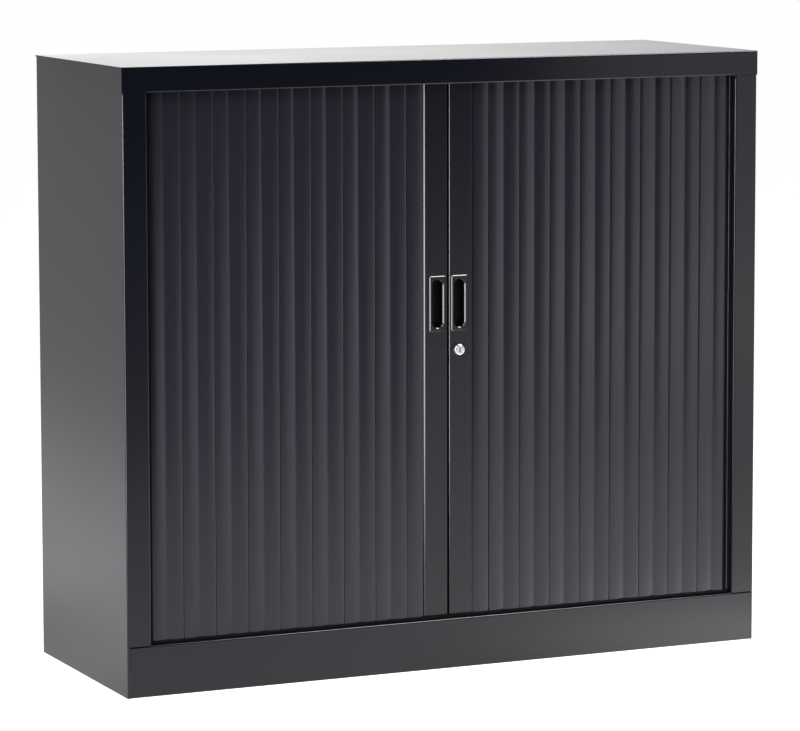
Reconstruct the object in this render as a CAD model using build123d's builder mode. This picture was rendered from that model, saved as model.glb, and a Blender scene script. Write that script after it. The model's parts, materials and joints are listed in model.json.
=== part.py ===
from build123d import *
import os

os.makedirs("parts", exist_ok=True)

# Steel cabinet closed by two slatted curtains that roll sideways, in millimetres.
# X runs along the width, Y from the front to the back, Z is up. The origin is the
# middle of the footprint, on the floor. A side is -1 for the left and +1 for the right.

# Carcass
width = 1200.0
depth = 430.0
height = 1060.0
sheet = 1.0  # steel thickness of every folded panel
bend = 2.0  # fold radius at the middle of the sheet
cap_overhang = 1.0  # how far the top stands past each side panel
cap_rim = 2.5  # depth of the folded rim along each side of the top
stile_width = 44.0
rail_height = 43.0
plinth_height = 87.0
plinth_return = 20.0  # depth of the fold that rests on the floor
lip_depth = 10.0  # folds around the door opening
corner_flange = 4.5  # front fold of a side panel beside the plinth
rear_return = 15.0
rear_flange = 20.0
seam = 0.6  # open joint between neighbouring panels

# Base, back and lining
tray_drop = 11.0  # floor of the cabinet below the plinth's top
tray_depth = 25.0
tray_corner = 3.0
back_foot = 10.0  # back panel above the floor
back_play = 2.0
liner_setback = 40.0  # front of the lining behind the front plane
liner_flange = 12.0
rivet_radius = 2.0
rivet_play = 0.1
rivet_head_radius = 4.5
rivet_head = 1.2
rivet_inset = 7.5  # rivet row from a side panel's outer face
rivet_margin = 100.0
rivet_rows = 5

# Curtain and its tracks
slat_recess = 13.0  # crest of the slats behind the front plane
slat_thickness = 7.0
slat_count = 8  # full slats in the flat run of each curtain
joining_slat = 32.2  # width of the narrow slat beside the lead stile
slat_joint = 0.8  # open joint between two slats
rib_rise = 1.4
tongue_length = 5.0
tongue_thickness = 2.6
tongue_play = 0.4
corner_radius = 37.0
corner_inset = 5.0  # start of the corner inside the edge of the stile
corner_sweep = 84.0  # degrees of the corner that the corner slat fills
corner_gap = 0.6  # degrees
track_width = 11.8
track_slot = 8.2
track_height = 16.0
track_floor = 1.8
track_setback = 65.0  # rear end of the side track in front of the back plane
slat_play = 0.3
stop_length = 10.0
stop_height = 12.0
stop_play = 0.1

# Lead stiles and their handles
door_recess = 11.5  # face of the lead stiles behind the front plane
lead_width = 44.0
lead_depth = 14.0
lead_wall = 1.5
lead_rounding = 1.5
meeting_gap = 4.0
shoe_play = 0.5
shoe_plate = 1.5
shoe_inset = 4.0
handle_x = 20.0
handle_z = 637.5
handle_width = 33.0
handle_height = 97.0
handle_proud = 1.5
handle_bevel = 1.0
handle_corner = 2.0
finger_width = 22.0
finger_height = 85.0
grip_overlap = 1.0  # how far the handle covers the joints at the ends of the grip block
pocket_play = 1.0  # finger pocket around the handle's slot
pocket_floor = 3.0

# Lock, on the right lead stile, with its keeper on the left one
lock_x = 18.0
lock_z = 557.0
lock_proud = 9.5
barrel_radius = 9.5
barrel_length = 32.0
barrel_play = 0.1
barrel_chamfer = 0.8
plug_radius = 6.45
plug_play = 0.05
keyway_width = 2.2
keyway_height = 9.0
keyway_depth = 12.0
nut_flats = 24.0
nut_thickness = 4.0
plug_square = 8.0
square_play = 0.05
cam_clearance = 0.3
cam_thickness = 2.5
cam_hub = 11.0
cam_arm_width = 16.0
cam_arm_length = 33.0
hook_radius = 26.0  # middle of the hook's notch
hook_notch = 5.0
hook_reach = 2.5  # closed end of the notch past the arm's middle
keeper_width = 36.0
keeper_height = 35.0
keeper_plate = 1.5
keeper_x = 22.0
tab_thickness = 2.4
tab_low = 6.0
tab_high = 1.5
tab_past_cam = 1.7
cam_screw_radius = 6.0
cam_screw_head = 3.0

# Shelves on slotted uprights
upright_width = 25.0
upright_rise = 8.0
upright_front = 75.0  # middle of the front uprights behind the front plane
upright_rear = 50.0  # middle of the rear uprights in front of the back plane
slot_pitch = 25.0
slot_margin = 40.0
slot_width = 4.0
slot_height = 14.0
shelf_thickness = 25.0
shelf_setback = 50.0
shelf_rear_gap = 8.0
shelf_end_play = 0.5
shelf_rounding = 2.5
lower_shelf_row = 10
upper_shelf_row = 23
clip_sheet = 2.0
clip_width = 16.0
clip_reach = 16.0
clip_rise = 12.0  # top of a clip above the middle of its slot
clip_drop = 12.0
clip_tongue = 3.5
clip_tongue_play = 0.4

# Levelling feet inside the plinth
foot_x_inset = 38.0  # foot axis from a side panel's inner face
foot_y_inset = 45.0
foot_radius = 18.0
foot_pad = 8.0
foot_bevel = 1.5
stud_radius = 5.0
stud_length = 50.0
stud_play = 0.05
bracket_z = 40.0
bracket_thickness = 3.0
bracket_length = 50.0
boss_radius = 11.0
boss_length = 10.0

# Planes and lines shared by the pieces
front = -depth / 2
rear = depth / 2
half_sheet = sheet / 2
fold_inside = bend - half_sheet
side_face = width / 2 - cap_overhang
side_inner = side_face - sheet
jamb = width / 2 - stile_width
rail_bottom = height - rail_height
under_top = height - sheet
inner_back = rear - 2 * sheet
tray_floor = plinth_height - tray_drop
stile_bottom = plinth_height + seam
stile_top = rail_bottom - seam
curtain_front = front + slat_recess
curtain_middle = curtain_front + slat_thickness / 2
curtain_rear = curtain_front + slat_thickness
corner_start = jamb - corner_inset
corner_y = curtain_middle + corner_radius
side_run = corner_start + corner_radius
track_end = rear - track_setback
lower_track_top = tray_floor + track_height
upper_track_bottom = under_top - track_height
slat_bottom = tray_floor + track_floor + slat_play
slat_top = under_top - track_floor - slat_play
lead_front = front + door_recess
lead_rear = lead_front + lead_depth
lead_inner = meeting_gap / 2
lead_outer = lead_inner + lead_width
lead_bottom = lower_track_top + shoe_play + shoe_plate
lead_top = upper_track_bottom - shoe_play - shoe_plate
grip_bottom = handle_z - handle_height / 2 + grip_overlap
grip_top = handle_z + handle_height / 2 - grip_overlap
slat_pitch = (corner_start - lead_outer - joining_slat) / slat_count
barrel_front = lead_front - lock_proud
barrel_rear = barrel_front + barrel_length
cam_front = barrel_rear + cam_clearance
cam_rear = cam_front + cam_thickness
upright_face = jamb - upright_rise
upright_places = (front + upright_front, rear - upright_rear)
slot_count = int((under_top - tray_floor - 2 * slot_margin) / slot_pitch) + 1
shelf_half = upright_face - clip_sheet - shelf_end_play
foot_x = side_inner - foot_x_inset
foot_y = rear - foot_y_inset
rivet_x = side_face - rivet_inset
rivet_pitch = (height - 2 * rivet_margin) / (rivet_rows - 1)

sides = (("left", -1), ("right", 1))


def save(piece, name):
    piece.part.label = name
    export_step(piece.part, f"parts/{name}.step")


def facing(y):
    """Plane that looks to the front, with X across and Z up, at depth y."""
    return Plane.XZ.offset(-y)


def block(x0, x1, y0, y1, z0, z1, mode=Mode.ADD):
    with Locations(((x0 + x1) / 2, (y0 + y1) / 2, (z0 + z1) / 2)):
        Box(abs(x1 - x0), abs(y1 - y0), abs(z1 - z0), mode=mode)


def folded(plane, points, length):
    """Sheet folded along the points, which lie at the middle of its thickness."""
    with BuildSketch(plane, mode=Mode.PRIVATE) as strip:
        with BuildLine():
            FilletPolyline(*points, radius=bend)
        trace(line_width=sheet)
    extrude(strip.sketch, amount=length)


def cylinder_back(y, x, z, radius, length, mode=Mode.ADD):
    """Round bar or hole that runs back from depth y."""
    with BuildSketch(facing(y), mode=Mode.PRIVATE) as disc:
        with Locations((x, z)):
            Circle(radius)
    extrude(disc.sketch, amount=-length, mode=mode)


def slot_z(row):
    return tray_floor + slot_margin + row * slot_pitch


def rivet_places():
    return [
        (side * rivet_x, rivet_margin + row * rivet_pitch)
        for side in (-1, 1)
        for row in range(rivet_rows)
    ]


# Top: one sheet with the front rail folded down, a lip over the opening and a low rear flange
with BuildPart() as top_panel:
    lip_fold = rail_bottom + 2 * bend + sheet
    folded(
        Plane.YZ.offset(-width / 2),
        [(front + half_sheet, lip_fold), (front + half_sheet, height - half_sheet),
         (rear, height - half_sheet)],
        width,
    )
    folded(
        Plane.YZ.offset(-jamb),
        [(front + lip_depth, rail_bottom + half_sheet), (front + half_sheet, rail_bottom + half_sheet),
         (front + half_sheet, lip_fold)],
        2 * jamb,
    )
    for side in (-1, 1):
        block(side * jamb, side * width / 2, front, front + sheet, rail_bottom, lip_fold)
        block(side * side_face, side * width / 2, front + bend + half_sheet, rear, height - cap_rim, under_top)
    flange_half = side_face - rear_return - seam
    block(-flange_half, flange_half, rear - sheet, rear, height - rear_flange, under_top)
save(top_panel, "top_panel")

# Side panels: stile and lip in front, short return behind, cut back beside the plinth and the rail
for name, side in sides:
    with BuildPart() as side_panel:
        wall = side * (side_face - half_sheet)
        lip = side * (jamb + half_sheet)
        back = [(side * (side_face - rear_return), rear - half_sheet), (wall, rear - half_sheet)]
        folded(
            Plane.XY.offset(stile_bottom),
            back + [(wall, front + half_sheet), (lip, front + half_sheet), (lip, front + lip_depth)],
            stile_top - stile_bottom,
        )
        folded(
            Plane.XY,
            back + [(wall, front + half_sheet), (side * (side_face - corner_flange), front + half_sheet)],
            stile_bottom,
        )
        folded(
            Plane.XY.offset(stile_top),
            back + [(wall, front + sheet + fold_inside)],
            under_top - stile_top,
        )
        for x, z in rivet_places():
            cylinder_back(rear - sheet, x, z, rivet_radius + rivet_play, sheet, mode=Mode.SUBTRACT)
    save(side_panel, f"{name}_side_panel")

with BuildPart() as back_panel:
    back_half = side_inner - back_play
    block(-back_half, back_half, inner_back, rear - sheet, back_foot, under_top - back_play)
    for x, z in rivet_places():
        cylinder_back(inner_back, x, z, rivet_radius + rivet_play, sheet, mode=Mode.SUBTRACT)
save(back_panel, "back_panel")

with BuildPart() as back_panel_rivets:
    for x, z in rivet_places():
        cylinder_back(inner_back - rivet_head, x, z, rivet_head_radius, rivet_head)
        cylinder_back(inner_back, x, z, rivet_radius, 2 * sheet)
save(back_panel_rivets, "back_panel_rivets")

with BuildPart() as plinth_front:
    plinth_half = side_face - corner_flange - seam / 2
    folded(
        Plane.YZ.offset(-plinth_half),
        [(front + plinth_return, half_sheet), (front + half_sheet, half_sheet),
         (front + half_sheet, plinth_height - half_sheet), (front + lip_depth, plinth_height - half_sheet)],
        2 * plinth_half,
    )
save(plinth_front, "plinth_front")

with BuildPart() as base_tray:
    block(-side_inner, side_inner, front + sheet, inner_back, tray_floor - tray_depth, tray_floor)
    fillet(base_tray.edges().filter_by(Axis.Z), radius=tray_corner)
    offset(amount=-sheet, openings=base_tray.faces().sort_by(Axis.Z)[0])
save(base_tray, "base_tray")

# Lining between the compartments and the pocket that the curtain rolls into
for name, side in sides:
    with BuildPart() as pocket_liner:
        liner_front = front + liner_setback + half_sheet
        liner_rear = inner_back - half_sheet
        folded(
            Plane.XY.offset(tray_floor),
            [(side * (jamb + liner_flange), liner_front), (side * (jamb + half_sheet), liner_front),
             (side * (jamb + half_sheet), liner_rear), (side * (jamb + liner_flange), liner_rear)],
            under_top - tray_floor,
        )
    save(pocket_liner, f"{name}_pocket_liner")


def track_strip(side, z, line_width):
    """Plan of a track, from the middle of the cabinet round the corner and along the side."""
    with BuildSketch(Plane.XY.offset(z), mode=Mode.PRIVATE) as strip:
        with BuildLine():
            FilletPolyline(
                (0, curtain_middle), (side * side_run, curtain_middle), (side * side_run, track_end),
                radius=corner_radius,
            )
        trace(line_width=line_width)
    return strip.sketch


for name, side in sides:
    with BuildPart() as lower_track:
        extrude(track_strip(side, tray_floor, track_width), amount=track_height)
        extrude(track_strip(side, tray_floor + track_floor, track_slot), amount=track_height, mode=Mode.SUBTRACT)
    save(lower_track, f"lower_{name}_track")

    with BuildPart() as upper_track:
        extrude(track_strip(side, upper_track_bottom, track_width), amount=track_height)
        extrude(
            track_strip(side, upper_track_bottom, track_slot),
            amount=track_height - track_floor,
            mode=Mode.SUBTRACT,
        )
    save(upper_track, f"upper_{name}_track")

# Rubber stops that close the rear ends of the tracks
with BuildPart() as door_stops:
    stop_half = track_slot / 2 - stop_play
    lower_seat = tray_floor + track_floor
    upper_seat = under_top - track_floor
    for side in (-1, 1):
        x = side * side_run
        block(x - stop_half, x + stop_half, track_end - stop_length, track_end, lower_seat, lower_seat + stop_height)
        block(x - stop_half, x + stop_half, track_end - stop_length, track_end, upper_seat - stop_height, upper_seat)
save(door_stops, "door_stops")

# Slotted uprights, two on each lining
for name, side in sides:
    with BuildPart() as uprights:
        for y in upright_places:
            y0 = y - upright_width / 2 + half_sheet
            y1 = y + upright_width / 2 - half_sheet
            face = side * (upright_face + half_sheet)
            folded(
                Plane.XY.offset(tray_floor),
                [(side * jamb, y0), (face, y0), (face, y1), (side * jamb, y1)],
                under_top - tray_floor,
            )
            with BuildSketch(Plane.YZ.offset(side * upright_face - sheet)) as slots:
                with Locations(*[(y, slot_z(row)) for row in range(slot_count)]):
                    Rectangle(slot_width, slot_height)
            extrude(amount=2 * sheet, mode=Mode.SUBTRACT)
    save(uprights, f"{name}_uprights")

# Shelves: folded pans on four clips each
for name, row in (("lower", lower_shelf_row), ("upper", upper_shelf_row)):
    seat = slot_z(row) + clip_rise
    with BuildPart() as shelf:
        block(
            -shelf_half, shelf_half, front + shelf_setback, inner_back - shelf_rear_gap,
            seat, seat + shelf_thickness,
        )
        fillet(shelf.edges().filter_by(Axis.X).group_by(Axis.Z)[-1], radius=shelf_rounding)
        offset(amount=-sheet, openings=shelf.faces().sort_by(Axis.Z)[0])
    save(shelf, f"{name}_shelf")

    with BuildPart() as shelf_clips:
        for side in (-1, 1):
            for y in upright_places:
                y0 = y - clip_width / 2
                y1 = y + clip_width / 2
                tongue = slot_width / 2 - clip_tongue_play
                outer = side * upright_face
                block(outer - side * clip_sheet, outer, y0, y1, slot_z(row) - clip_drop, seat)
                block(outer - side * clip_reach, outer, y0, y1, seat - clip_sheet, seat)
                block(
                    outer, outer + side * clip_tongue, y - tongue, y + tongue,
                    slot_z(row) - slot_height / 2 + clip_tongue_play,
                    slot_z(row) + slot_height / 2 - clip_tongue_play,
                )
    save(shelf_clips, f"{name}_shelf_clips")

# Levelling feet: a stud on a pad, screwed through a bracket on each side panel
foot_places = (("front_left", -1, -1), ("front_right", 1, -1), ("rear_left", -1, 1), ("rear_right", 1, 1))
with BuildPart() as foot_brackets:
    for name, side, end in foot_places:
        y = end * foot_y
        half_bracket = bracket_length / 2
        block(
            side * (side_inner - bracket_length), side * side_inner, y - half_bracket, y + half_bracket,
            bracket_z, bracket_z + bracket_thickness,
        )
        with Locations((side * foot_x, y, bracket_z)):
            Cylinder(boss_radius, boss_length, align=(Align.CENTER, Align.CENTER, Align.MAX))
            Cylinder(stud_radius + stud_play, 2 * (boss_length + bracket_thickness), mode=Mode.SUBTRACT)
save(foot_brackets, "foot_brackets")

for name, side, end in foot_places:
    with BuildPart() as foot:
        with Locations((side * foot_x, end * foot_y, 0)):
            Cylinder(foot_radius, foot_pad, align=(Align.CENTER, Align.CENTER, Align.MIN))
        chamfer(foot.faces().sort_by(Axis.Z)[-1].edges(), length=foot_bevel)
        with Locations((side * foot_x, end * foot_y, foot_pad)):
            Cylinder(stud_radius, stud_length, align=(Align.CENTER, Align.CENTER, Align.MIN))
    save(foot, f"{name}_foot")


def slat_profile(side, start, end, ribs):
    """Section of a slat between two joint lines: rounded ribs in front, a tongue on the
    outer edge behind, and a rebate for the next tongue on the inner edge."""
    inner = start + slat_joint / 2
    outer = end - slat_joint / 2
    valley = curtain_front + rib_rise
    rib = (outer - inner) / ribs
    tongue_front = curtain_rear - tongue_thickness
    rebate = tongue_front - tongue_play
    rebate_end = inner + tongue_length + tongue_play
    with BuildSketch(Plane.XY.offset(slat_bottom), mode=Mode.PRIVATE) as profile:
        with BuildLine():
            for index in range(ribs):
                low = inner + index * rib
                ThreePointArc(
                    (side * low, valley), (side * (low + rib / 2), curtain_front), (side * (low + rib), valley)
                )
            Polyline(
                (side * outer, valley), (side * outer, tongue_front),
                (side * (outer + tongue_length), tongue_front), (side * (outer + tongue_length), curtain_rear),
                (side * rebate_end, curtain_rear), (side * rebate_end, rebate),
                (side * inner, rebate), (side * inner, valley),
            )
        make_face()
    return profile.sketch


for name, side in sides:
    middle = side * (lead_inner + lead_width / 2)

    # Hollow upright that leads the curtain, in a lower and an upper run
    with BuildPart() as lead_stile:
        for low, high in ((lead_bottom, grip_bottom), (grip_top, lead_top)):
            with BuildSketch(Plane.XY.offset(low)) as section:
                with Locations((middle, lead_front + lead_depth / 2)):
                    Rectangle(lead_width, lead_depth)
                fillet(section.vertices().group_by(Axis.Y)[0], radius=lead_rounding)
                with Locations((middle, lead_front + lead_depth / 2)):
                    Rectangle(lead_width - 2 * lead_wall, lead_depth - 2 * lead_wall, mode=Mode.SUBTRACT)
            extrude(amount=high - low)
        if side > 0:
            cylinder_back(lead_front, lock_x, lock_z, barrel_radius + barrel_play, lead_depth, mode=Mode.SUBTRACT)
    save(lead_stile, f"{name}_lead_stile")

    # Block between the two runs, with the pocket for the fingers
    with BuildPart() as grip_block:
        with BuildSketch(Plane.XY.offset(grip_bottom)) as section:
            with Locations((middle, lead_front + lead_depth / 2)):
                Rectangle(lead_width, lead_depth)
            fillet(section.vertices().group_by(Axis.Y)[0], radius=lead_rounding)
        extrude(amount=grip_top - grip_bottom)
        pocket_half = finger_width / 2 + pocket_play
        block(
            side * handle_x - pocket_half, side * handle_x + pocket_half, lead_front, lead_rear - pocket_floor,
            handle_z - finger_height / 2 - pocket_play, handle_z + finger_height / 2 + pocket_play,
            mode=Mode.SUBTRACT,
        )
    save(grip_block, f"{name}_grip_block")

    # Handle: a bevelled plate over the block, with the slot for the fingers
    with BuildPart() as handle:
        with BuildSketch(facing(lead_front)) as plate:
            with Locations((side * handle_x, handle_z)):
                Rectangle(handle_width, handle_height)
            fillet(plate.vertices(), radius=handle_corner)
        extrude(amount=handle_proud)
        chamfer(handle.faces().sort_by(Axis.Y)[0].edges(), length=handle_bevel)
        with BuildSketch(facing(lead_front)):
            with Locations((side * handle_x, handle_z)):
                SlotOverall(finger_height, finger_width, rotation=90)
        extrude(amount=handle_proud, mode=Mode.SUBTRACT)
    save(handle, f"{name}_handle")

    # Shoes that carry the lead stile in the lower and upper tracks
    with BuildPart() as guide_shoes:
        for end, slot_end, plate_far, plate_near in (
            (-1, slat_bottom, lower_track_top + shoe_play, lead_bottom),
            (1, slat_top, upper_track_bottom - shoe_play, lead_top),
        ):
            block(side * lead_inner, side * lead_outer, lead_front, lead_rear, plate_near, plate_far)
            block(
                side * (lead_inner + shoe_inset), side * (lead_outer - shoe_inset),
                curtain_front, curtain_rear, plate_far, slot_end,
            )
    save(guide_shoes, f"{name}_guide_shoes")

    # Flat run of the curtain, from the narrow joining slat outwards
    for index in range(slat_count + 1):
        start = lead_outer + (index > 0) * (joining_slat + (index - 1) * slat_pitch)
        end = lead_outer + joining_slat + index * slat_pitch
        with BuildPart() as slat:
            extrude(slat_profile(side, start, end, ribs=2 if index else 1), amount=slat_top - slat_bottom)
        save(slat, f"{name}_slat_{index + 1}")

    # Slat that lies round the corner of the track
    with BuildPart() as corner_slat:
        with BuildSketch(Plane.XY.offset(slat_bottom)):
            with BuildLine():
                CenterArc(
                    (side * corner_start, corner_y), corner_radius,
                    -90 + side * corner_gap, side * corner_sweep,
                )
            trace(line_width=slat_thickness)
        extrude(amount=slat_top - slat_bottom)
        block(
            side * corner_start, side * (corner_start + tongue_length + tongue_play),
            curtain_rear - tongue_thickness - tongue_play, curtain_rear + slat_thickness,
            slat_bottom, slat_top, mode=Mode.SUBTRACT,
        )
    save(corner_slat, f"{name}_corner_slat")

# Lock: a barrel clamped by a nut, and a plug that turns the hooked cam
with BuildPart() as lock_barrel:
    cylinder_back(barrel_front, lock_x, lock_z, barrel_radius, barrel_length)
    chamfer(lock_barrel.faces().sort_by(Axis.Y)[0].edges(), length=barrel_chamfer)
    cylinder_back(barrel_front, lock_x, lock_z, plug_radius + plug_play, barrel_length, mode=Mode.SUBTRACT)
save(lock_barrel, "lock_barrel")

with BuildPart() as lock_nut:
    with BuildSketch(facing(lead_front + lead_wall)):
        with Locations((lock_x, lock_z)):
            RegularPolygon(nut_flats / 2, 6, major_radius=False)
            Circle(barrel_radius + barrel_play, mode=Mode.SUBTRACT)
    extrude(amount=-nut_thickness)
save(lock_nut, "lock_nut")

with BuildPart() as lock_plug:
    cylinder_back(barrel_front, lock_x, lock_z, plug_radius, cam_front - barrel_front)
    with BuildSketch(facing(barrel_front)):
        with Locations((lock_x, lock_z)):
            Rectangle(keyway_width, keyway_height)
    extrude(amount=-keyway_depth, mode=Mode.SUBTRACT)
    with BuildSketch(facing(cam_front)):
        with Locations((lock_x, lock_z)):
            Rectangle(plug_square, plug_square)
    extrude(amount=-cam_thickness)
save(lock_plug, "lock_plug")

with BuildPart() as lock_cam:
    with BuildSketch(facing(cam_front)):
        with Locations((lock_x, lock_z)):
            Circle(cam_hub)
        with Locations((lock_x, lock_z + cam_arm_length / 2)):
            Rectangle(cam_arm_width, cam_arm_length)
        with BuildSketch(mode=Mode.PRIVATE) as notch:
            with Locations((lock_x, lock_z)):
                Circle(hook_radius + hook_notch / 2)
                Circle(hook_radius - hook_notch / 2, mode=Mode.SUBTRACT)
            with Locations((lock_x + hook_reach, lock_z + hook_radius)):
                Rectangle(
                    cam_arm_width, cam_arm_width,
                    align=(Align.MAX, Align.CENTER), mode=Mode.INTERSECT,
                )
        add(notch.sketch, mode=Mode.SUBTRACT)
        with Locations((lock_x, lock_z)):
            Rectangle(plug_square + 2 * square_play, plug_square + 2 * square_play, mode=Mode.SUBTRACT)
    extrude(amount=-cam_thickness)
save(lock_cam, "lock_cam")

with BuildPart() as lock_cam_screw:
    cylinder_back(cam_rear, lock_x, lock_z, cam_screw_radius, cam_screw_head)
    with BuildSketch(facing(cam_rear + cam_screw_head)):
        with Locations((lock_x, lock_z)):
            Rectangle(cam_screw_radius * 1.5, cam_screw_head / 3)
            Rectangle(cam_screw_head / 3, cam_screw_radius * 1.5)
    extrude(amount=cam_screw_head / 2, mode=Mode.SUBTRACT)
save(lock_cam_screw, "lock_cam_screw")

with BuildPart() as lock_keeper:
    block(
        -keeper_x - keeper_width / 2, -keeper_x + keeper_width / 2, lead_rear, lead_rear + keeper_plate,
        lock_z - keeper_height / 2, lock_z + keeper_height / 2,
    )
    tab_x = lock_x - hook_radius
    block(
        tab_x - tab_thickness / 2, tab_x + tab_thickness / 2, lead_rear, cam_rear + tab_past_cam,
        lock_z - tab_low, lock_z + tab_high,
    )
save(lock_keeper, "lock_keeper")
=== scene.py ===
import json
import math

import bmesh
import bpy
from mathutils import Euler, Matrix, Vector

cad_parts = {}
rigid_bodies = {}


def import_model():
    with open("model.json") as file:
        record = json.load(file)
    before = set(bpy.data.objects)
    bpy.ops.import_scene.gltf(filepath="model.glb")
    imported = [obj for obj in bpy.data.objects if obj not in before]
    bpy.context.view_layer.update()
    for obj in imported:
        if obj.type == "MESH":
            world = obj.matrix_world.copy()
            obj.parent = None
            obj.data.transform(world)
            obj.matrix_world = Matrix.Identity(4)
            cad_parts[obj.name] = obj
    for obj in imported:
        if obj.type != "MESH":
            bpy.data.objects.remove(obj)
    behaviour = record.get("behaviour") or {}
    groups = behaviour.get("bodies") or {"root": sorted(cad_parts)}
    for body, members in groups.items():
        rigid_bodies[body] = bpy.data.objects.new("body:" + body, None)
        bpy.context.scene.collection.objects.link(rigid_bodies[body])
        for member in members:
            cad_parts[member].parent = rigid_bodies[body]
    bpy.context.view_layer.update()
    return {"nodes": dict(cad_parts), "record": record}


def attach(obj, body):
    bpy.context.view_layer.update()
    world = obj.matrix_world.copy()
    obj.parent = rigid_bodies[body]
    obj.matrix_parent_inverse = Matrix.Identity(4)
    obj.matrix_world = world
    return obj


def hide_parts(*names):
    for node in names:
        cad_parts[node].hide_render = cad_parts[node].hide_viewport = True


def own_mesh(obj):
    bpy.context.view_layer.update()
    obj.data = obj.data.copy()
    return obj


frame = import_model()
nodes = frame["nodes"]
print("frame loaded:", len(nodes), "pieces")


modelling = {"rodSides": 64, "fineSides": 96, "softSegments": 2, "softAngle": 50, "cornerSegments": 5,
             "smoothAngle": 30, "broadAngle": 50, "flatWeight": 100,
             "touching": 0.000001, "near": 0.00001, "facing": 0.9, "overshoot": 0.01}


def deselectAll():
    if bpy.context.object and bpy.context.object.mode != "OBJECT":
        bpy.ops.object.mode_set(mode="OBJECT")
    bpy.ops.object.select_all(action="DESELECT")


def workOn(piece):
    deselectAll()
    piece.select_set(True)
    bpy.context.view_layer.objects.active = piece


def openEdit(piece):
    workOn(piece)
    bpy.ops.object.mode_set(mode="EDIT")


def closeEdit():
    bpy.ops.object.mode_set(mode="OBJECT")


def applyPlace(piece):
    workOn(piece)
    bpy.ops.object.transform_apply(location=True, rotation=True, scale=True)


def addBlock(name, low, high):
    deselectAll()
    bpy.ops.mesh.primitive_cube_add(size=1, location=[(a + b) / 2 for a, b in zip(low, high)])
    block = bpy.context.object
    block.name = name
    block.scale = [abs(b - a) for a, b in zip(low, high)]
    applyPlace(block)
    return block


def addRod(name, centre, radius, length, sides=modelling["rodSides"], turn=0.0):  # lies along Y
    deselectAll()
    bpy.ops.mesh.primitive_cylinder_add(vertices=sides, radius=radius, depth=length)
    rod = bpy.context.object
    rod.name = name
    rod.rotation_euler = (0, 0, turn)
    applyPlace(rod)
    rod.rotation_euler = (math.pi / 2, 0, 0)
    rod.location = centre
    applyPlace(rod)
    return rod


def pick(piece, kind, test):  # selects in edit mode by place and direction
    bpy.ops.mesh.select_mode(type=kind)
    bpy.ops.mesh.select_all(action="DESELECT")
    mesh = bmesh.from_edit_mesh(piece.data)
    mesh.normal_update()
    if kind == "VERT":
        for vert in mesh.verts:
            vert.select = bool(test(vert.co, vert.normal))
    elif kind == "EDGE":
        for edge in mesh.edges:
            a, b = edge.verts
            edge.select = bool(test((a.co + b.co) / 2, (b.co - a.co).normalized()))
    else:
        for face in mesh.faces:
            face.select = bool(test(face.calc_center_median(), face.normal))
    mesh.select_flush_mode()
    bmesh.update_edit_mesh(piece.data)


def cutAt(axis, place):
    normal = [0, 0, 0]
    normal["XYZ".index(axis)] = 1
    point = [0, 0, 0]
    point["XYZ".index(axis)] = place
    bpy.ops.mesh.select_all(action="SELECT")
    bpy.ops.mesh.bisect(plane_co=point, plane_no=normal)


def extrudeBy(x, y, z):
    bpy.ops.mesh.extrude_region_move(TRANSFORM_OT_translate={"value": (x, y, z)})


def bevelEdges(width, segments):
    bpy.ops.mesh.bevel(offset=width, segments=segments, affect="EDGES")


def faceOutwards():
    bpy.ops.mesh.select_all(action="SELECT")
    bpy.ops.mesh.normals_make_consistent(inside=False)


def carve(piece, cutter):
    workOn(piece)
    cut = piece.modifiers.new("carve", "BOOLEAN")
    cut.operation = "DIFFERENCE"
    cut.solver = "EXACT"
    cut.object = cutter
    bpy.ops.object.modifier_apply(modifier=cut.name)
    bpy.data.objects.remove(cutter)


def softenEdges(piece, width):
    workOn(piece)
    bevel = piece.modifiers.new("soften", "BEVEL")
    bevel.width = width
    bevel.segments = modelling["softSegments"]
    bevel.limit_method = "ANGLE"
    bevel.angle_limit = math.radians(modelling["softAngle"])
    bpy.ops.object.modifier_apply(modifier=bevel.name)


def joinPieces(piece, other):
    deselectAll()
    other.select_set(True)
    piece.select_set(True)
    bpy.context.view_layer.objects.active = piece
    bpy.ops.object.join()


def copyPiece(piece, name, place=(0, 0, 0)):
    workOn(piece)
    bpy.ops.object.duplicate()
    copy = bpy.context.object
    copy.name = name
    copy.data.name = name
    copy.location = place
    applyPlace(copy)
    return copy


def mirrorPiece(piece):  # from the right side to the left
    piece.scale = (-1, 1, 1)
    applyPlace(piece)
    openEdit(piece)
    faceOutwards()
    closeEdit()


def finishPiece(piece, material, body, replaced=(), smoothAngle=modelling["smoothAngle"], even=False):
    workOn(piece)
    bpy.ops.object.shade_smooth_by_angle(angle=math.radians(smoothAngle))
    if even:  # keeps broad faces flat beside their rounded edges
        weigh = piece.modifiers.new("even", "WEIGHTED_NORMAL")
        weigh.weight = modelling["flatWeight"]
        weigh.keep_sharp = True
        bpy.ops.object.modifier_apply(modifier=weigh.name)
    piece.data.materials.clear()
    piece.data.materials.append(material)
    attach(piece, body)
    if replaced:
        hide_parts(*replaced)


view = {"place": (-2.8537, -6.3018, 1.4273), "turn": -24.368, "down": 6.429, "roll": -0.112,
        "lens": 176.87, "sensor": 36, "shift": -0.10, "reach": 200}


def addCamera():
    deselectAll()
    bpy.ops.object.camera_add(location=view["place"])
    camera = bpy.context.object
    aim = Euler((math.radians(90 - view["down"]), 0, math.radians(view["turn"]))).to_matrix()
    roll = Matrix.Rotation(math.radians(view["roll"]), 3, "Z")
    camera.rotation_euler = (aim @ roll).to_euler()
    camera.data.lens = view["lens"]
    camera.data.sensor_width = view["sensor"]
    camera.data.shift_y = view["shift"]
    camera.data.clip_end = view["reach"]
    bpy.context.scene.camera = camera


addCamera()
print("camera placed")


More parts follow.
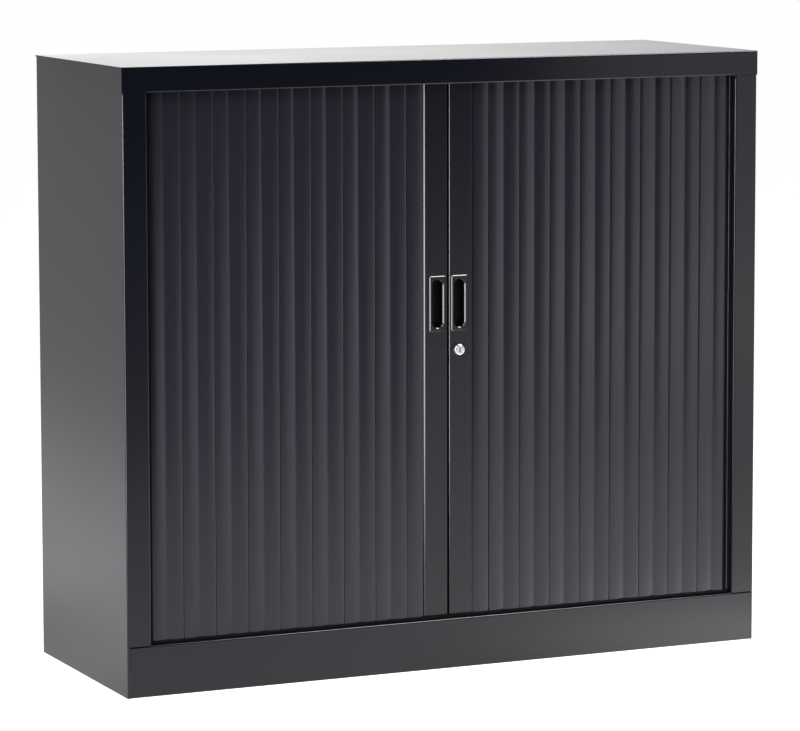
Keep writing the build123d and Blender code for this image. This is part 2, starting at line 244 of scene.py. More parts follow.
def addNode(tree, kind, inputs=None, **settings):
    node = tree.nodes.new(kind)
    for key, value in settings.items():
        setattr(node, key, value)
    for key, value in (inputs or {}).items():
        if isinstance(value, bpy.types.NodeSocket):
            tree.links.new(value, node.inputs[key])
        else:
            node.inputs[key].default_value = value
    return node


def mathOn(tree, operation, *values):
    return addNode(tree, "ShaderNodeMath", dict(enumerate(values)), operation=operation).outputs["Value"]


def noiseOn(tree, vector, scale, detail, rough):
    return addNode(tree, "ShaderNodeTexNoise", {
        "Vector": vector, "Scale": scale, "Detail": detail, "Roughness": rough}).outputs["Fac"]


def rampOn(tree, value, span, low=0.0, high=1.0, kind="SMOOTHSTEP"):
    return addNode(tree, "ShaderNodeMapRange", {
        "Value": value, "From Min": span[0], "From Max": span[1], "To Min": low, "To Max": high},
        interpolation_type=kind).outputs["Result"]


def axesOf(tree, vector):
    return addNode(tree, "ShaderNodeSeparateXYZ", {"Vector": vector}).outputs


def mixColour(tree, factor, a, b):
    mix = tree.nodes.new("ShaderNodeMix")
    mix.data_type = "RGBA"
    # its colours come in at sockets 6 and 7 and leave at 2
    for socket, value in ((mix.inputs[0], factor), (mix.inputs[6], a), (mix.inputs[7], b)):
        if isinstance(value, bpy.types.NodeSocket):
            tree.links.new(value, socket)
        else:
            socket.default_value = (*value, 1)
    return mix.outputs[2]


def newGroup(name, inputs, outputs):
    group = bpy.data.node_groups.new(name, "ShaderNodeTree")
    for label, kind, value in inputs:
        socket = group.interface.new_socket(label, in_out="INPUT", socket_type=kind)
        if value is not None:
            socket.default_value = value
    for label, kind in outputs:
        group.interface.new_socket(label, in_out="OUTPUT", socket_type=kind)
    return group, group.nodes.new("NodeGroupInput"), group.nodes.new("NodeGroupOutput")


pebbles = {"scale": 500.0, "depth": 0.1, "stretch": (1, 1, 1), "detail": 3.0, "rough": 0.55, "lift": 0.0004}
rubbing = {"width": 0.0012, "amount": 0.5, "breakup": 60.0, "samples": 4, "edge": (0.995, 0.8),
           "detail": 4.0, "rough": 0.5, "patch": (0.42, 0.62)}
clouding = {"scale": 3.0, "detail": 2.0, "rough": 0.5, "span": (0.15, 0.85)}
dusting = {"scale": 140.0, "detail": 6.0, "rough": 0.7, "upward": (0.6, 1.0), "flecks": (0.45, 0.75)}


def makeCoatTexture():  # fine pebbling of powder coat or moulded plastic
    group, source, sink = newGroup(
        "coatTexture",
        [("Vector", "NodeSocketVector", None), ("Scale", "NodeSocketFloat", pebbles["scale"]),
         ("Depth", "NodeSocketFloat", pebbles["depth"]), ("Stretch", "NodeSocketVector", pebbles["stretch"])],
        [("Normal", "NodeSocketVector"), ("Speckle", "NodeSocketFloat")])
    place = addNode(group, "ShaderNodeMapping", {
        "Vector": source.outputs["Vector"], "Scale": source.outputs["Stretch"]})
    fine = noiseOn(group, place.outputs["Vector"], source.outputs["Scale"], pebbles["detail"],
                   pebbles["rough"])
    bump = addNode(group, "ShaderNodeBump", {
        "Height": fine, "Strength": source.outputs["Depth"], "Distance": pebbles["lift"]})
    group.links.new(bump.outputs["Normal"], sink.inputs["Normal"])
    group.links.new(fine, sink.inputs["Speckle"])
    return group


def makeEdgeWear():  # mask that is 1 on worn outer edges
    group, source, sink = newGroup(
        "edgeWear",
        [("Vector", "NodeSocketVector", None), ("Width", "NodeSocketFloat", rubbing["width"]),
         ("Amount", "NodeSocketFloat", rubbing["amount"]),
         ("Breakup", "NodeSocketFloat", rubbing["breakup"])],
        [("Mask", "NodeSocketFloat")])
    soft = addNode(group, "ShaderNodeBevel", {"Radius": source.outputs["Width"]}, samples=rubbing["samples"])
    face = addNode(group, "ShaderNodeNewGeometry")
    along = addNode(group, "ShaderNodeVectorMath", {0: soft.outputs["Normal"], 1: face.outputs["Normal"]},
                    operation="DOT_PRODUCT").outputs["Value"]
    edge = rampOn(group, along, rubbing["edge"], kind="LINEAR")
    patchy = noiseOn(group, source.outputs["Vector"], source.outputs["Breakup"], rubbing["detail"],
                     rubbing["rough"])
    patch = rampOn(group, patchy, rubbing["patch"], kind="LINEAR")
    both = mathOn(group, "MULTIPLY", edge, patch)
    group.links.new(mathOn(group, "MULTIPLY", both, source.outputs["Amount"]), sink.inputs["Mask"])
    return group


def makeSlowDrift():  # broad, faint variation and settled dust
    group, source, sink = newGroup(
        "slowDrift",
        [("Vector", "NodeSocketVector", None), ("Scale", "NodeSocketFloat", clouding["scale"]),
         ("Low", "NodeSocketFloat", 0.0), ("High", "NodeSocketFloat", 1.0)],
        [("Value", "NodeSocketFloat"), ("Dust", "NodeSocketFloat")])
    cloud = noiseOn(group, source.outputs["Vector"], source.outputs["Scale"], clouding["detail"],
                    clouding["rough"])
    spread = rampOn(group, cloud, clouding["span"], source.outputs["Low"], source.outputs["High"])
    face = addNode(group, "ShaderNodeNewGeometry")
    upward = rampOn(group, axesOf(group, face.outputs["Normal"])["Z"], dusting["upward"], kind="LINEAR")
    grains = noiseOn(group, source.outputs["Vector"], dusting["scale"], dusting["detail"], dusting["rough"])
    flecks = rampOn(group, grains, dusting["flecks"], kind="LINEAR")
    group.links.new(spread, sink.inputs["Value"])
    group.links.new(mathOn(group, "MULTIPLY", upward, flecks), sink.inputs["Dust"])
    return group


coatTexture = makeCoatTexture()
edgeWear = makeEdgeWear()
slowDrift = makeSlowDrift()

shared = {"offset": (0.13, 0.07, 0.31), "speckle": 1.25, "dustColour": (0.35, 0.34, 0.32),
          "metal": 0.0, "gloss": 0.5, "tint": (1.0, 1.0, 1.0), "stretch": (1, 1, 1)}
finishes = {
    "panel": {"colour": (0.0019, 0.0026, 0.0068), "worn": (0.04, 0.04, 0.045), "rough": (0.19, 0.23),
              "scale": 420.0, "depth": 0.10, "wear": 0.25, "dust": 0.01},
    "inner_panel": {"colour": (0.012, 0.012, 0.016), "worn": (0.05, 0.05, 0.055), "rough": (0.36, 0.42),
                    "scale": 420.0, "depth": 0.12, "wear": 0.25, "dust": 0.02},
    "slat": {"colour": (0.0150, 0.0142, 0.0215), "worn": (0.04, 0.04, 0.045), "rough": (0.18, 0.22),
             "tint": (0.95, 0.94, 1.0), "scale": 600.0, "depth": 0.04, "stretch": (1, 1, 0.1),
             "wear": 0.15, "dust": 0.01},
    "lead": {"colour": (0.0045, 0.0052, 0.0095), "worn": (0.04, 0.04, 0.045), "rough": (0.20, 0.24),
             "scale": 420.0, "depth": 0.10, "wear": 0.3, "dust": 0.01},
    "handle": {"colour": (0.008, 0.008, 0.011), "worn": (0.05, 0.05, 0.055), "rough": (0.18, 0.24),
               "scale": 900.0, "depth": 0.15, "wear": 0.3, "dust": 0.0},
    # painted shade: the cup inside the handle's slot is darker and duller than the handle itself, so its
    # colour stands in for the shade in the slot
    "cup_painted_shade": {"colour": (0.002, 0.002, 0.003), "worn": (0.01, 0.01, 0.01), "rough": (0.45, 0.55),
            "gloss": 0.12, "scale": 900.0, "depth": 0.15, "wear": 0.1, "dust": 0.0},
    # black plastic track, with its colour and gloss turned down further so that it also stands in for the
    # shade in the gap above the plinth: partly its own colour, partly painted shade
    "track": {"colour": (0.003, 0.003, 0.0035), "worn": (0.02, 0.02, 0.02), "rough": (0.45, 0.55),
              "gloss": 0.15, "scale": 700.0, "depth": 0.12, "wear": 0.2, "dust": 0.02},
    "chrome": {"colour": (0.82, 0.82, 0.83), "worn": (0.6, 0.6, 0.6), "rough": (0.26, 0.34),
               "metal": 1.0, "scale": 900.0, "depth": 0.03, "wear": 0.2, "dust": 0.0},
    "zinc": {"colour": (0.52, 0.53, 0.55), "worn": (0.4, 0.4, 0.4), "rough": (0.28, 0.42),
             "metal": 1.0, "scale": 300.0, "depth": 0.06, "wear": 0.3, "dust": 0.0},
    "foot": {"colour": (0.42, 0.43, 0.45), "worn": (0.3, 0.3, 0.3), "rough": (0.32, 0.46),
             "metal": 1.0, "scale": 300.0, "depth": 0.08, "wear": 0.4, "dust": 0.0},
    "rubber": {"colour": (0.012, 0.012, 0.012), "worn": (0.03, 0.03, 0.03), "rough": (0.6, 0.75),
               "scale": 500.0, "depth": 0.3, "wear": 0.2, "dust": 0.05},
}


def makeFinish(name):
    values = {**shared, **finishes[name]}
    material = bpy.data.materials.new(name)
    material.use_nodes = True
    tree = material.node_tree
    shader = tree.nodes["Principled BSDF"]
    place = addNode(tree, "ShaderNodeTexCoord")
    spot = addNode(tree, "ShaderNodeMapping", {
        "Vector": place.outputs["Object"], "Location": values["offset"]}).outputs["Vector"]
    texture = addNode(tree, "ShaderNodeGroup", node_tree=coatTexture)
    wear = addNode(tree, "ShaderNodeGroup", node_tree=edgeWear)
    drift = addNode(tree, "ShaderNodeGroup", node_tree=slowDrift)
    for node in (texture, wear, drift):
        tree.links.new(spot, node.inputs["Vector"])
    texture.inputs["Scale"].default_value = values["scale"]
    texture.inputs["Depth"].default_value = values["depth"]
    texture.inputs["Stretch"].default_value = values["stretch"]
    wear.inputs["Amount"].default_value = values["wear"]
    drift.inputs["Low"].default_value, drift.inputs["High"].default_value = values["rough"]
    dusty = mathOn(tree, "MULTIPLY", drift.outputs["Dust"], values["dust"])
    speckled = mixColour(tree, texture.outputs["Speckle"], values["colour"],
                         tuple(share * values["speckle"] for share in values["colour"]))
    worn = mixColour(tree, wear.outputs["Mask"], speckled, values["worn"])
    colour = mixColour(tree, dusty, worn, values["dustColour"])
    tree.links.new(colour, shader.inputs["Base Color"])
    tree.links.new(drift.outputs["Value"], shader.inputs["Roughness"])
    tree.links.new(texture.outputs["Normal"], shader.inputs["Normal"])
    shader.inputs["Metallic"].default_value = values["metal"]
    shader.inputs["Specular IOR Level"].default_value = values["gloss"]
    shader.inputs["Specular Tint"].default_value = (*values["tint"], 1)
    return material


materials = {name: makeFinish(name) for name in finishes}
for part in frame["record"]["subparts"]:
    for slot in nodes[part["node"]].material_slots:
        slot.material = materials[part["material_slot"]]
print("finishes made:", len(materials))


carcass = {"sheets": ("top_panel", "left_side_panel", "right_side_panel", "plinth_front", "back_panel"),
           "softEdge": 0.00025, "merge": 0.00001, "flat": 0.5,
           "jamb": 0.5560, "railBottom": 1.0170, "front": -0.2150, "lip": 0.0100,
           "cornerRound": 0.0060, "cornerSoft": 0.0004, "cutterLength": 0.05}


def dressSheet(node):  # a merged copy of the folded sheet, with its cut edges softened
    sheet = copyPiece(nodes[node], f"sheet_{node}")
    bpy.ops.object.parent_clear(type="CLEAR_KEEP_TRANSFORM")
    openEdit(sheet)
    bpy.ops.mesh.select_all(action="SELECT")
    bpy.ops.mesh.remove_doubles(threshold=carcass["merge"])
    bpy.ops.mesh.dissolve_limited(angle_limit=math.radians(carcass["flat"]))
    closeEdit()
    softenEdges(sheet, carcass["softEdge"])
    finishPiece(sheet, materials["panel"], "cabinet", (node,),
                smoothAngle=modelling["broadAngle"], even=True)


def roundOpening(side, sideName):  # fills the opening's upper corner to a quarter round
    radius = carcass["cornerRound"]
    x, z = side * carcass["jamb"], carcass["railBottom"]
    inner = x - side * radius
    corner = addBlock(f"{sideName}_opening_corner", (min(x, inner), carcass["front"], z - radius),
                      (max(x, inner), carcass["front"] + carcass["lip"], z))
    carve(corner, addRod("round", (inner, carcass["front"], z - radius), radius, carcass["cutterLength"],
                         sides=modelling["fineSides"]))
    softenEdges(corner, carcass["cornerSoft"])
    finishPiece(corner, materials["panel"], "cabinet", smoothAngle=modelling["broadAngle"],
                even=True)


for node in carcass["sheets"]:
    dressSheet(node)
for side, sideName in ((-1, "left"), (1, "right")):
    roundOpening(side, sideName)
print("carcass dressed")


curtain = {"crest": -0.2020, "rear": -0.1950, "bottom": 0.0781, "top": 1.0569, "joint": 0.0008,
           "leadOuter": 0.0460, "joining": 0.0322, "cornerStart": 0.5510, "count": 8, "steps": 12,
           "jointSlope": 8.0, "grooveSlope": 15.5, "joiningSlope": 10.0,
           "shoulder": 0.0004, "cornerShoulder": 0.0014, "shoulderRows": (0.12, 0.4, 0.75, 1.0),
           "curlWidth": 0.0090, "curlDrop": 0.0030, "tongue": 0.0050, "tongueDepth": 0.0026, "play": 0.0004,
           "cornerRadius": 0.0370, "cornerSweep": 84.0, "cornerMiddle": 0.57097, "keep": 0.07749}


def ribDrop(u, width, ribs, shoulder, curl):  # how far the front lies behind its crest, at u across the slat
    joint = math.radians(curtain["jointSlope"])
    groove = math.radians(curtain["grooveSlope"])
    if ribs == 1:
        joint = groove = math.radians(curtain["joiningSlope"])
    rib = width / ribs
    curled = max(u - (width - curtain["curlWidth"]), 0) / curtain["curlWidth"] if curl else 0
    u = min(u, width - u)
    bend = (joint + groove) / rib
    crest = joint / bend
    drop = bend * (u - crest) ** 2 / 2 + curtain["curlDrop"] * curled ** 2
    if u < shoulder:
        drop += shoulder - math.sqrt(max(shoulder ** 2 - (shoulder - u) ** 2, 0))
    return drop


def ribRows(width, ribs, shoulder):  # where the section bends
    rows = {round((rib + step / curtain["steps"]) * width / ribs, 7)
            for rib in range(ribs) for step in range(curtain["steps"] + 1)}
    for share in curtain["shoulderRows"]:
        rows.add(round(shoulder * share, 7))
        rows.add(round(width - shoulder * share, 7))
    return sorted(rows)


def shapeSlat(name, width, ribs, tongue=True, curl=False):
    # section along X from 0, front towards -Y, with the tongue on the far edge
    crest, rear, close = curtain["crest"], curtain["rear"], modelling["touching"]
    rebate = rear - curtain["tongueDepth"] - curtain["play"]
    shoulder = curtain["shoulder"] if tongue else curtain["cornerShoulder"]
    slat = addBlock(name, (0, crest, curtain["bottom"]), (width, rebate, curtain["top"]))
    openEdit(slat)
    rows = ribRows(width, ribs, shoulder)
    for row in rows:
        if close < row < width - close:
            cutAt("X", row)
    for row in rows:
        pick(slat, "VERT", lambda p, n: abs(p.x - row) < 2 * close and p.y < crest + close)
        bpy.ops.transform.translate(value=(0, ribDrop(row, width, ribs, shoulder, curl), 0))
    if tongue:
        edge = curtain["tongue"] + curtain["play"]
        cutAt("X", edge)
        pick(slat, "FACE", lambda p, n: n.y > modelling["facing"] and p.x > edge)
        extrudeBy(0, rear - rebate, 0)
        cutAt("Y", rear - curtain["tongueDepth"])
        pick(slat, "FACE", lambda p, n: n.x > modelling["facing"] and p.y > rear - curtain["tongueDepth"])
        extrudeBy(curtain["tongue"], 0, 0)
    else:
        pick(slat, "FACE", lambda p, n: n.y > modelling["facing"])
        extrudeBy(0, rear - rebate, 0)
    bpy.ops.mesh.select_all(action="SELECT")
    bpy.ops.mesh.remove_doubles(threshold=close)
    faceOutwards()
    closeEdit()
    return slat


def bendSlat(slat):  # rolls a straight slat round the corner of the track
    middle = (curtain["crest"] + curtain["rear"]) / 2
    slat.location = (0, -middle, 0)
    applyPlace(slat)
    roll = slat.modifiers.new("roll", "SIMPLE_DEFORM")
    roll.deform_method = "BEND"
    roll.deform_axis = "Z"
    roll.angle = math.radians(curtain["cornerSweep"])
    bpy.ops.object.modifier_apply(modifier=roll.name)
    slat.location = (0, middle, 0)
    applyPlace(slat)


def hangCurtain():
    joint = curtain["joint"]
    pitch = (curtain["cornerStart"] - curtain["leadOuter"] - curtain["joining"]) / curtain["count"]
    joining = shapeSlat("joiningSlat", curtain["joining"] - joint, 1)
    full = shapeSlat("fullSlat", pitch - joint, 2)
    last = shapeSlat("lastSlat", pitch - joint, 2, curl=True)
    arc = curtain["cornerRadius"] * math.radians(curtain["cornerSweep"])
    corner = shapeSlat("cornerSlat", arc, 2, tongue=False)
    bendSlat(corner)
    for side, sideName in ((-1, "left"), (1, "right")):
        places = [(joining, curtain["leadOuter"] + joint / 2, curtain["joining"])]
        for index in range(curtain["count"]):
            start = curtain["leadOuter"] + curtain["joining"] + index * pitch
            base = full if index < curtain["count"] - 1 else last
            places.append((base, start + joint / 2, pitch))
        places.append((corner, curtain["cornerStart"] + joint / 2, None))
        for index, (base, start, width) in enumerate(places):
            node = f"{sideName}_slat_{index + 1}" if width else f"{sideName}_corner_slat"
            slat = copyPiece(base, f"curtain_{node}", (start, 0, 0))
            if side < 0:
                mirrorPiece(slat)
            finishPiece(slat, materials["slat"], node, (node,))
            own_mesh(slat)
    for base in (joining, full, last, corner):
        bpy.data.objects.remove(base)


hangCurtain()
print("curtains hung")


lead = {"inner": 0.0020, "outer": 0.0460, "front": -0.2035, "rear": -0.1895, "bottom": 0.0940, "top": 1.0410,
        "outerChamfer": 0.0019, "innerChamfer": 0.0009, "soft": 0.0003, "wall": 0.0015, "hollow": 0.030}


def buildLead(side, sideName):  # its pocket and lock hole take their places from handle and lock
    near, facing = modelling["near"], modelling["facing"]
    stile = addBlock(f"{sideName}_stile", (side * lead["inner"], lead["front"], lead["bottom"]),
                     (side * lead["outer"], lead["rear"], lead["top"]))
    openEdit(stile)
    for edge in ("outer", "inner"):
        pick(stile, "EDGE", lambda p, d: abs(d.z) > facing and p.y < lead["front"] + near
             and abs(p.x - side * lead[edge]) < near)
        bevelEdges(lead[f"{edge}Chamfer"], 1)
    pick(stile, "EDGE", lambda p, d: abs(d.z) > facing and p.y < lead["front"] + near)
    bevelEdges(lead["soft"], modelling["softSegments"])
    for x in (side * handle["x"] - handle["pocketX"], side * handle["x"] + handle["pocketX"]):
        cutAt("X", x)
    for z in (handle["z"] - handle["pocketZ"], handle["z"] + handle["pocketZ"]):
        cutAt("Z", z)
    pick(stile, "FACE", lambda p, n: n.y < -facing and abs(p.x - side * handle["x"]) < handle["pocketX"]
         and abs(p.z - handle["z"]) < handle["pocketZ"])
    extrudeBy(0, handle["pocketFloor"] - lead["front"], 0)
    for end in (-1, 1):
        pick(stile, "FACE", lambda p, n: n.z * end > facing
             and (p.z < lead["bottom"] + near or p.z > lead["top"] - near))
        bpy.ops.mesh.inset(thickness=lead["wall"])
        extrudeBy(0, 0, -end * lead["hollow"])
    closeEdit()
    if side > 0:
        carve(stile, addRod("lockHole", (lock["x"], (lead["front"] + lead["rear"]) / 2, lock["z"]),
                            lock["radius"] + lock["holePlay"], lock["holeLength"]))
    finishPiece(stile, materials["lead"], f"{sideName}_door",
                (f"{sideName}_lead_stile", f"{sideName}_grip_block"), even=True)


handle = {"x": 0.0207, "z": 0.6375, "width": 0.0308, "height": 0.0970, "proud": 0.0020, "corner": 0.0022,
          "chamfer": 0.0015, "soft": 0.0003, "slotRadius": 0.0097, "slotHalf": 0.0318, "slotSides": 48,
          "rim": 0.0016, "cupWall": 0.0008, "cupFloor": -0.1932,
          "pocketX": 0.0120, "pocketZ": 0.0435, "pocketFloor": -0.1925}


def longSlot(name, side, radius, front, rear):  # prism with round ends, long in Z
    slot = addRod(name, (side * handle["x"], (front + rear) / 2, handle["z"]), radius, rear - front,
                  sides=handle["slotSides"], turn=math.pi / handle["slotSides"])
    openEdit(slot)
    for end in (-1, 1):
        pick(slot, "VERT", lambda p, n: (p.z - handle["z"]) * end > modelling["touching"])
        bpy.ops.transform.translate(value=(0, 0, end * handle["slotHalf"]))
    closeEdit()
    return slot


def buildCup(side, sideName):
    cup_painted_shade = longSlot(f"{sideName}_cup", side, handle["slotRadius"] + handle["cupWall"], lead["front"],
                   handle["cupFloor"])
    openEdit(cup_painted_shade)
    pick(cup_painted_shade, "FACE", lambda p, n: n.y < -modelling["facing"])
    bpy.ops.mesh.inset(thickness=handle["cupWall"])
    extrudeBy(0, handle["cupFloor"] - lead["front"] - handle["cupWall"], 0)
    closeEdit()
    # the cup's near-black, dull finish is painted shade for the inside of the handle's slot
    finishPiece(cup_painted_shade, materials["cup_painted_shade"], f"{sideName}_door", smoothAngle=modelling["broadAngle"],
                even=True)


def buildHandle(side, sideName):
    x, z = side * handle["x"], handle["z"]
    halfWidth, halfHeight = handle["width"] / 2, handle["height"] / 2
    face = lead["front"] - handle["proud"]
    plate = addBlock(f"{sideName}_grip", (x - halfWidth, face, z - halfHeight),
                     (x + halfWidth, lead["front"], z + halfHeight))

    def onFace(p, d):
        return p.y < face + modelling["touching"]

    def onRim(p, d):
        up = max(abs(p.z - z) - handle["slotHalf"], 0)
        return onFace(p, d) and math.hypot(p.x - x, up) < handle["slotRadius"] + modelling["near"]

    openEdit(plate)
    pick(plate, "EDGE", lambda p, d: abs(d.y) > modelling["facing"])
    bevelEdges(handle["corner"], modelling["cornerSegments"])
    pick(plate, "EDGE", onFace)
    bevelEdges(handle["chamfer"], 1)
    pick(plate, "EDGE", onFace)
    bevelEdges(handle["soft"], modelling["softSegments"])
    closeEdit()
    carve(plate, longSlot("slotCutter", side, handle["slotRadius"], face - modelling["overshoot"],
                          lead["front"] + modelling["overshoot"]))
    openEdit(plate)
    pick(plate, "EDGE", onRim)
    bevelEdges(handle["rim"], 1)
    closeEdit()
    buildCup(side, sideName)
    finishPiece(plate, materials["handle"], f"{sideName}_door", (f"{sideName}_handle",), even=True)


lock = {"x": 0.0180, "z": 0.5570, "front": -0.2130, "rear": -0.1810, "radius": 0.0095, "plugRadius": 0.00645,
        "round": 0.0026, "rim": 0.0003, "play": 0.00005, "sunk": 0.0005, "sunkSegments": 3,
        "camFront": -0.1807, "camRear": -0.1782, "square": 0.0080, "overlap": 0.001, "onRim": 0.0001,
        "keyWidth": 0.0020, "keyHeight": 0.0080, "keyDepth": 0.0120, "holePlay": 0.0001, "holeLength": 0.03}


def lockRod(name, radius, front, rear):
    return addRod(name, (lock["x"], (front + rear) / 2, lock["z"]), radius, rear - front,
                  sides=modelling["fineSides"])


def roundFront(rod, front, radius, width, segments):
    openEdit(rod)
    pick(rod, "EDGE", lambda p, d: p.y < front + modelling["touching"]
         and abs(math.hypot(p.x - lock["x"], p.z - lock["z"]) - radius) < lock["onRim"])
    bevelEdges(width, segments)
    closeEdit()


def buildLock():
    front, rear = lock["front"], lock["rear"]
    bore = lock["plugRadius"] + lock["play"]
    barrel = lockRod("barrel", lock["radius"], front, rear)
    roundFront(barrel, front, lock["radius"], lock["round"], modelling["cornerSegments"])
    carve(barrel, lockRod("bore", bore, front - modelling["overshoot"], rear + modelling["overshoot"]))
    roundFront(barrel, front, bore, lock["rim"], modelling["softSegments"])
    finishPiece(barrel, materials["chrome"], "right_door", ("lock_barrel",), even=True)
    x, z, face = lock["x"], lock["z"], front + lock["sunk"]
    plug = lockRod("plug", lock["plugRadius"], face, lock["camFront"])
    roundFront(plug, face, lock["plugRadius"], lock["sunk"], lock["sunkSegments"])
    halfWidth, halfHeight = lock["keyWidth"] / 2, lock["keyHeight"] / 2
    carve(plug, addBlock("keyway", (x - halfWidth, face - modelling["overshoot"], z - halfHeight),
                         (x + halfWidth, face + lock["keyDepth"], z + halfHeight)))
    half = lock["square"] / 2
    joinPieces(plug, addBlock("square", (x - half, lock["camFront"] - lock["overlap"], z - half),
                              (x + half, lock["camRear"], z + half)))
    finishPiece(plug, materials["chrome"], "lock", ("lock_plug",), even=True)


for side, sideName in ((-1, "left"), (1, "right")):
    buildLead(side, sideName)
    buildHandle(side, sideName)
buildLock()
print("lead stiles, handles and lock built")


paper = {"size": 60.0, "tone": 0.70, "rough": 0.9, "cameraLift": 0.95, "farSpan": (-6.3, -5.7),
         "glowFront": 0.80, "glowSlant": 0.30, "slantSpan": (-0.6, 0.7),
         "glowLeft": 0.42, "leftSpan": (-3.2, -2.0), "glowBack": 0.52, "backSpan": (-0.3, 0.1),
         "glowSide": 0.95, "sideSpan": (-1.9, -1.05), "glowHem": 0.58, "hemSpan": (-0.95, -0.62),
         "nearGlow": 1.60, "nearAcross": (0.0, 0.7), "nearSpan": (-0.8, -0.3), "nearEnd": (-0.24, -0.14)}


def addFloor():  # paper, with a glow that only glossy faces show
    deselectAll()
    bpy.ops.mesh.primitive_plane_add(size=paper["size"], location=(0, 0, 0))
    floor = bpy.context.object
    floor.name = "studioFloor"
    material = bpy.data.materials.new("studioPaper")
    material.use_nodes = True
    tree = material.node_tree
    shader = tree.nodes["Principled BSDF"]
    shader.inputs["Base Color"].default_value = (paper["tone"], paper["tone"], paper["tone"], 1)
    shader.inputs["Roughness"].default_value = paper["rough"]
    shader.inputs["Specular IOR Level"].default_value = 0.0
    axes = axesOf(tree, addNode(tree, "ShaderNodeTexCoord").outputs["Object"])
    x, y = axes["X"], axes["Y"]
    slant = mathOn(tree, "MULTIPLY_ADD", y, paper["glowSlant"], x)
    leftward = rampOn(tree, y, paper["leftSpan"], 0.0, paper["glowLeft"])
    ahead = rampOn(tree, slant, paper["slantSpan"], leftward, paper["glowFront"])
    beside = rampOn(tree, x, paper["hemSpan"], paper["glowSide"], paper["glowHem"])
    behind = rampOn(tree, x, paper["sideSpan"], paper["glowBack"], beside)
    around = rampOn(tree, y, paper["backSpan"], ahead, behind)
    far = rampOn(tree, y, paper["farSpan"])
    nearRight = rampOn(tree, x, paper["nearAcross"], 0.0, paper["nearGlow"])
    nearEnd = rampOn(tree, y, paper["nearEnd"], nearRight, 0.0)
    nearFront = rampOn(tree, y, paper["nearSpan"], 0.0, nearEnd)
    glow = mathOn(tree, "MULTIPLY_ADD", around, far, nearFront)
    path = addNode(tree, "ShaderNodeLightPath")
    toGloss = mathOn(tree, "MULTIPLY", path.outputs["Is Glossy Ray"], glow)
    toCamera = mathOn(tree, "MULTIPLY", path.outputs["Is Camera Ray"], paper["cameraLift"])
    shader.inputs["Emission Color"].default_value = (1, 1, 1, 1)
    tree.links.new(mathOn(tree, "ADD", toCamera, toGloss), shader.inputs["Emission Strength"])
    floor.data.materials.append(material)


sky = {"leftTone": 0.10, "backTone": 1.64, "asideTone": 0.35, "horizonTone": 0.5,
       "behindSpan": (-0.35, 0.05), "acrossSpan": (-0.45, 0.32), "asideSpan": (0.34, 0.62),
       "lowSpan": (0.3, 0.7), "horizonSpan": (0.0, 0.05)}


def setWorld():  # white to the camera, otherwise one low bright band behind
    world = bpy.data.worlds.new("studio")
    bpy.context.scene.world = world
    world.use_nodes = True
    tree = world.node_tree
    background = tree.nodes["Background"]
    axes = axesOf(tree, addNode(tree, "ShaderNodeTexCoord").outputs["Generated"])
    tone = rampOn(tree, axes["Y"], sky["behindSpan"])
    across = rampOn(tree, axes["X"], sky["acrossSpan"], sky["leftTone"], sky["backTone"])
    aside = rampOn(tree, axes["X"], sky["asideSpan"], across, sky["asideTone"])
    low = rampOn(tree, axes["Z"], sky["lowSpan"], 1.0, 0.0)
    horizon = rampOn(tree, axes["Z"], sky["horizonSpan"], sky["horizonTone"], 1.0)
    for share in (aside, low, horizon):
        tone = mathOn(tree, "MULTIPLY", tone, share)
    path = addNode(tree, "ShaderNodeLightPath")
    strength = mathOn(tree, "MAXIMUM", tone, path.outputs["Is Camera Ray"])
    background.inputs["Color"].default_value = (1, 1, 1, 1)
    tree.links.new(strength, background.inputs["Strength"])


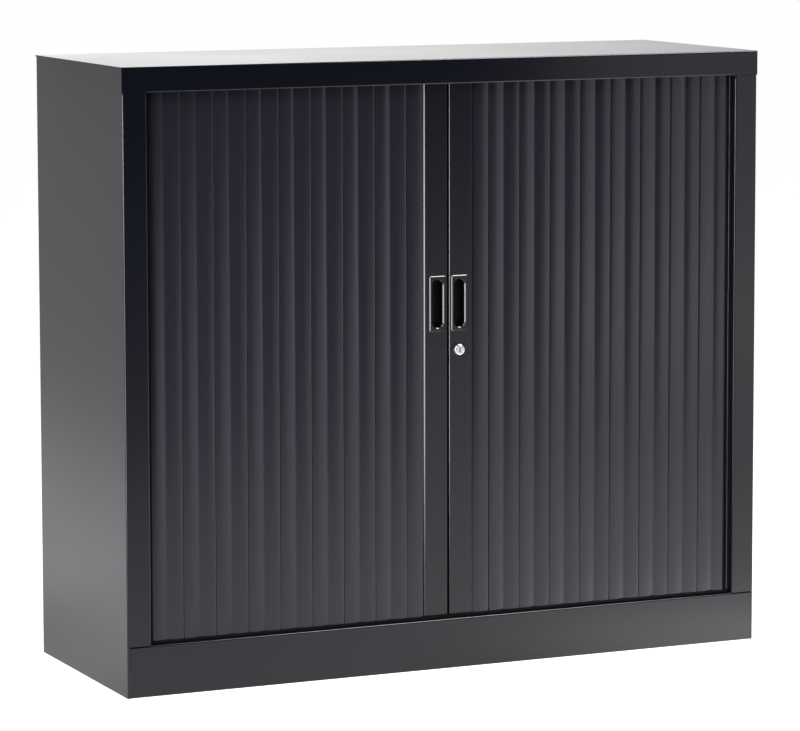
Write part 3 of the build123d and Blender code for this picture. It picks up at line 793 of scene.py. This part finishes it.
lamps = {
    "topBox": {"place": (1.20, -0.45, 2.50), "size": (1.40, 0.40), "aim": (1.20, -0.45, 0.0), "power": 42.0},
    "softBox": {"place": (1.30, -1.30, 0.65), "size": (1.60, 1.10), "aim": (1.30, 0.0, 0.65), "power": 3.8,
                "fadeAcross": (0.07, 0.27), "fadeUp": (0.05, 0.35)},
    "sideBox": {"place": (2.135, -1.285, 1.275), "size": (0.78, 0.85), "aim": (0.3, 0.2, 1.275),
                "power": 1.0},
    "rimLamp": {"place": (-1.64, -0.62, 1.52), "size": (0.15, 0.15), "aim": (-0.3, -0.2, 0.75), "power": 3.5},
    "leftBox": {"place": (-1.86, -1.02, 0.45), "size": (0.60, 0.90), "aim": (-0.05, -0.2, 0.45), "power": 3.3,
                "spread": 60.0},
    "crownLamp": {"place": (-1.25, -0.95, 1.95), "size": (0.80, 0.80), "aim": (-0.02, -0.2, 0.64),
                  "power": 0.9, "spread": 60.0},
    "fillBox": {"place": (-2.0, -1.9, 2.5), "size": (2.0, 2.0), "aim": (-0.4, -0.2, 0.6), "power": 6.0,
                "spread": 70.0},
    "edgeLamp": {"place": (-2.00, -0.40, 0.84), "size": (0.25, 0.22), "aim": (-0.6, -0.215, 0.9),
                 "power": 9.0},
    "poolLamp": {"place": (1.30, -1.20, 2.90), "size": (0.90, 0.90), "aim": (0.9, -0.7, 0.0), "power": 26.0},
}


def fadeLamp(lamp, values):  # its left and lower edges fade out
    lamp.data.use_nodes = True
    tree = lamp.data.node_tree
    across = axesOf(tree, addNode(tree, "ShaderNodeNewGeometry").outputs["Parametric"])
    rightward = rampOn(tree, across["X"], values["fadeAcross"])
    upward = rampOn(tree, across["Y"], values["fadeUp"])
    tree.links.new(mathOn(tree, "MULTIPLY", rightward, upward), tree.nodes["Emission"].inputs["Strength"])


def addLamp(name, values):
    deselectAll()
    bpy.ops.object.light_add(type="AREA", location=values["place"])
    lamp = bpy.context.object
    lamp.name = name
    lamp.visible_camera = False
    lamp.data.shape = "RECTANGLE"
    lamp.data.size, lamp.data.size_y = values["size"]
    lamp.data.energy = values["power"]
    lamp.data.spread = math.radians(values.get("spread", 180.0))
    heading = Vector(values["aim"]) - Vector(values["place"])
    lamp.rotation_euler = heading.to_track_quat("-Z", "Y").to_euler()
    if "fadeAcross" in values:
        fadeLamp(lamp, values)


addFloor()
setWorld()
for name, values in lamps.items():
    addLamp(name, values)
bpy.context.scene.view_settings.view_transform = "Standard"
print("studio set")
